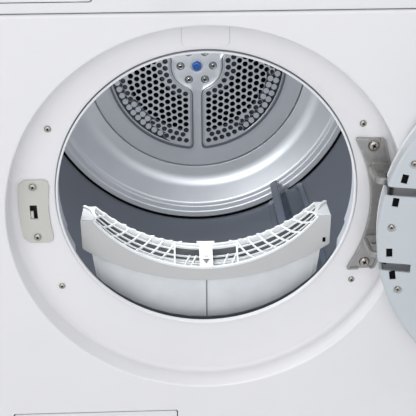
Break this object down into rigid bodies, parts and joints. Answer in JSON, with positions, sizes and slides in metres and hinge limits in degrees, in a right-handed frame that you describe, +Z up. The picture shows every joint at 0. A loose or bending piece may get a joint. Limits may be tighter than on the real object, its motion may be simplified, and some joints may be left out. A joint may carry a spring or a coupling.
{
  "type": "tumble dryer",
  "caption": "Front-loading heat-pump tumble dryer with a round side-hinged door swung open, a raised lint filter, a steel drum with paddles, a control panel and a condensate drawer.",
  "frame": {"origin": "centre of the base tray's underside, 15 mm above the floor that the feet stand on", "axes": "+Z up, -Y out of the front, +X to the right when facing the front"},
  "size_m": [0.9534, 0.7912, 0.85],
  "materials": {
    "white_paint": "satin",
    "white_plastic": "satin",
    "laminate": "fine textured laminate",
    "galvanised": "spangled zinc",
    "steel_screw": "bright",
    "zinc_casting": "fine cast grain",
    "latch_plastic": "fine grain",
    "door_plastic": "satin",
    "smoked_glass": "polished",
    "clear_bowl": "polished",
    "drum_steel": "fine brushed",
    "lifter_plastic": "satin",
    "blue_cap": "gloss",
    "filter_plastic": "satin",
    "filter_mesh": "fine woven screen",
    "black_plastic": "fine grain",
    "dark_glass": "polished",
    "rubber": "matt",
    "motor_paint": "satin black",
    "fin_aluminium": "mill finish"
  },
  "bodies": {
    "cabinet": {"base_tray": "black_plastic", "foot_1": "rubber", "foot_2": "rubber", "foot_3": "rubber", "foot_4": "rubber", "side_panel_left": "white_paint", "side_panel_right": "white_paint", "rear_panel": "galvanised", "front_panel": "white_paint", "worktop": "laminate", "control_panel": "white_plastic", "display_window": "dark_glass", "tank_housing": "white_plastic", "door_collar": "white_plastic", "filter_housing": "white_plastic", "rear_bearing": "steel_screw", "drive_belt": "rubber", "drive_motor": "motor_paint", "blower_housing": "black_plastic", "idler_arm": "galvanised", "heat_exchanger": "fin_aluminium", "compressor": "motor_paint", "drain_pump": "white_plastic", "panel_screw_1": "steel_screw", "panel_screw_2": "steel_screw", "panel_screw_3": "steel_screw", "panel_screw_4": "steel_screw", "latch_plate": "latch_plastic", "latch_screw_1": "steel_screw", "latch_screw_2": "steel_screw", "door_lock": "black_plastic", "hinge_bracket": "zinc_casting", "hinge_screw_1": "steel_screw", "hinge_screw_2": "steel_screw", "lamp_cover": "white_plastic"},
    "door": {"door_outer": "white_plastic", "door_window": "smoked_glass", "door_inner": "door_plastic", "door_bowl": "clear_bowl", "hinge_pin": "steel_screw", "door_hook": "latch_plastic"},
    "drum": {"drum_shell": "drum_steel", "drum_back": "drum_steel", "drum_hub": "drum_steel", "hub_cap": "blue_cap", "drum_lifter_1": "lifter_plastic", "drum_lifter_2": "lifter_plastic", "drum_lifter_3": "lifter_plastic"},
    "motor_rotor": {"motor_shaft": "steel_screw", "blower_wheel": "black_plastic"},
    "idler": {"idler_pulley": "black_plastic"},
    "lint_filter": {"filter_frame": "filter_plastic", "filter_screen": "filter_mesh"},
    "condensate_drawer": {"water_tank": "clear_bowl", "tank_front": "white_plastic"},
    "knob": {"programme_knob": "white_plastic"},
    "start_key": {"start_button": "white_plastic"},
    "option_key_1": {"option_button_1": "white_plastic"},
    "option_key_2": {"option_button_2": "white_plastic"},
    "flap": {"service_flap": "white_plastic"}
  },
  "joints": [
    {"name": "door_hinge", "type": "hinge", "parent": "cabinet", "child": "door", "pos_m": [0.217, -0.3255, 0.475], "axis": [0, 0, 1], "range_deg": [-168, 0]},
    {"name": "drum_spin", "type": "hinge", "parent": "cabinet", "child": "drum", "pos_m": [0, -0.284, 0.49], "axis": [0, 1, 0], "continuous": true},
    {"name": "motor_spin", "type": "hinge", "parent": "cabinet", "child": "motor_rotor", "pos_m": [0.19, -0.14, 0.125], "axis": [0, 1, 0], "continuous": true},
    {"name": "idler_spin", "type": "hinge", "parent": "cabinet", "child": "idler", "pos_m": [0.09392, -0.14, 0.12692], "axis": [0, 1, 0], "continuous": true},
    {"name": "filter_slide", "type": "slide", "parent": "cabinet", "child": "lint_filter", "axis": [0, 0, 1], "range_m": [-0.063, 0.09]},
    {"name": "tank_slide", "type": "slide", "parent": "cabinet", "child": "condensate_drawer", "axis": [0, -1, 0], "range_m": [0, 0.32]},
    {"name": "knob_turn", "type": "hinge", "parent": "cabinet", "child": "knob", "pos_m": [-0.03, -0.318, 0.78], "axis": [0, -1, 0], "continuous": true},
    {"name": "start_press", "type": "slide", "parent": "cabinet", "child": "start_key", "axis": [0, 1, 0], "range_m": [0, 0.0025], "stiffness_N_per_m": 400, "springref_m": -0.001},
    {"name": "option_press_1", "type": "slide", "parent": "cabinet", "child": "option_key_1", "axis": [0, 1, 0], "range_m": [0, 0.0015], "stiffness_N_per_m": 400, "springref_m": -0.001},
    {"name": "option_press_2", "type": "slide", "parent": "cabinet", "child": "option_key_2", "axis": [0, 1, 0], "range_m": [0, 0.0015], "stiffness_N_per_m": 400, "springref_m": -0.001},
    {"name": "flap_hinge", "type": "hinge", "parent": "cabinet", "child": "flap", "pos_m": [-0.152, -0.3192, 0.0372], "axis": [1, 0, 0], "range_deg": [0, 80]}
  ],
  "couplings": [
    {"joint": "motor_spin", "follows": "drum_spin", "ratio": 28.88},
    {"joint": "idler_spin", "follows": "drum_spin", "ratio": -16.04}
  ]
}
